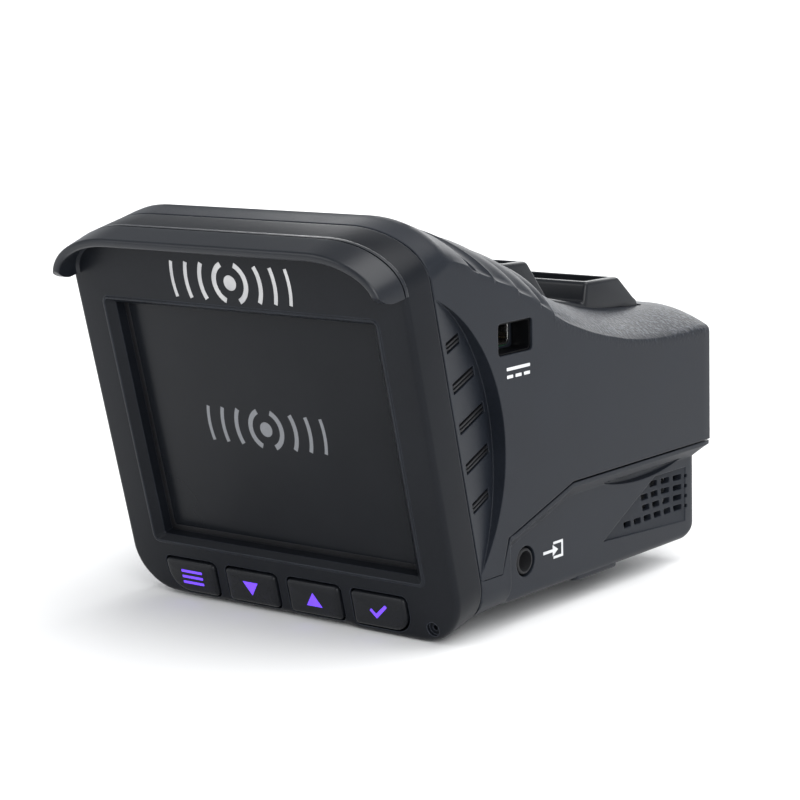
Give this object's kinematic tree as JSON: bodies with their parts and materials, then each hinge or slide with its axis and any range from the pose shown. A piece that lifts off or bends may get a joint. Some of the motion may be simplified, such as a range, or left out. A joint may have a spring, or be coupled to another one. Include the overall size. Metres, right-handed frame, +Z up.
{
  "type": "radar detector",
  "caption": "In-car radar detector with a tilted colour screen under a sun visor, a row of front keys, side sockets, speaker grille and a top cradle for a windscreen bracket.",
  "frame": {"origin": "on the surface it stands on, under the middle of its length and width", "axes": "+X to the right of someone looking at the screen, +Y from the screen towards the road, +Z up"},
  "size_m": [0.0744, 0.0982, 0.0715],
  "materials": {
    "shell_plastic": "fine spark-eroded texture, near black",
    "front_plastic": "satin near black",
    "screen_glass": "smoked, polished",
    "lcd_glass": "dark polished display",
    "diffuser": "translucent white",
    "sheet_steel": "pressed sheet",
    "chip": "moulded epoxy",
    "screw_steel": "zinc plated",
    "key_plastic": "satin black with lit legends",
    "plunger": "moulded nylon",
    "board": "solder resist over glass laminate",
    "louvre_plastic": "matte black",
    "cradle_plastic": "smooth satin black",
    "ceramic": "fired ceramic",
    "nickel": "nickel plated",
    "contact": "gold flashed",
    "cell": "foil pouch",
    "cone": "pressed paper",
    "magnet": "zinc plated",
    "horn": "die cast",
    "lens": "coated",
    "road_plastic": "infrared-clear smoked panel",
    "foot": "moulded rubber"
  },
  "bodies": {
    "housing": {"upper_shell": "shell_plastic", "lower_shell": "shell_plastic", "front_frame": "front_plastic", "sun_visor": "front_plastic", "screen_window": "screen_glass", "lcd_panel": "lcd_glass", "backlight": "diffuser", "lcd_tray": "sheet_steel", "screen_bracket": "chip", "bracket_screws": "screw_steel", "key_switches": "sheet_steel", "key_board": "board", "microphone": "sheet_steel", "louvre_right": "louvre_plastic", "louvre_left": "louvre_plastic", "mount_cradle": "cradle_plastic", "main_board": "board", "main_chips": "chip", "gps_antenna": "ceramic", "power_socket": "nickel", "power_contacts": "chip", "video_jack": "chip", "jack_contacts": "contact", "lower_board": "board", "lower_chips": "chip", "card_socket": "sheet_steel", "backup_battery": "cell", "speaker_basket": "sheet_steel", "speaker_cone": "cone", "speaker_magnet": "magnet", "radar_horn": "horn", "radar_board": "ceramic", "camera_barrel": "chip", "camera_lens": "lens", "camera_board": "board", "laser_lens": "lens", "laser_sensor": "chip", "road_window": "road_plastic", "case_screws": "screw_steel", "board_screws": "screw_steel", "rear_feet": "foot"},
    "key_menu": {"key_menu": "key_plastic", "plunger_menu": "plunger"},
    "key_down": {"key_down": "key_plastic", "plunger_down": "plunger"},
    "key_up": {"key_up": "key_plastic", "plunger_up": "plunger"},
    "key_ok": {"key_ok": "key_plastic", "plunger_ok": "plunger"}
  },
  "joints": [
    {"name": "press_menu", "type": "slide", "parent": "housing", "child": "key_menu", "axis": [0, 0.9755, 0.2198], "range_m": [0, 0.0004], "stiffness_N_per_m": 900, "springref_m": -0.0004},
    {"name": "press_down", "type": "slide", "parent": "housing", "child": "key_down", "axis": [0, 0.9755, 0.2198], "range_m": [0, 0.0004], "stiffness_N_per_m": 900, "springref_m": -0.0004},
    {"name": "press_up", "type": "slide", "parent": "housing", "child": "key_up", "axis": [0, 0.9755, 0.2198], "range_m": [0, 0.0004], "stiffness_N_per_m": 900, "springref_m": -0.0004},
    {"name": "press_ok", "type": "slide", "parent": "housing", "child": "key_ok", "axis": [0, 0.9755, 0.2198], "range_m": [0, 0.0004], "stiffness_N_per_m": 900, "springref_m": -0.0004}
  ]
}
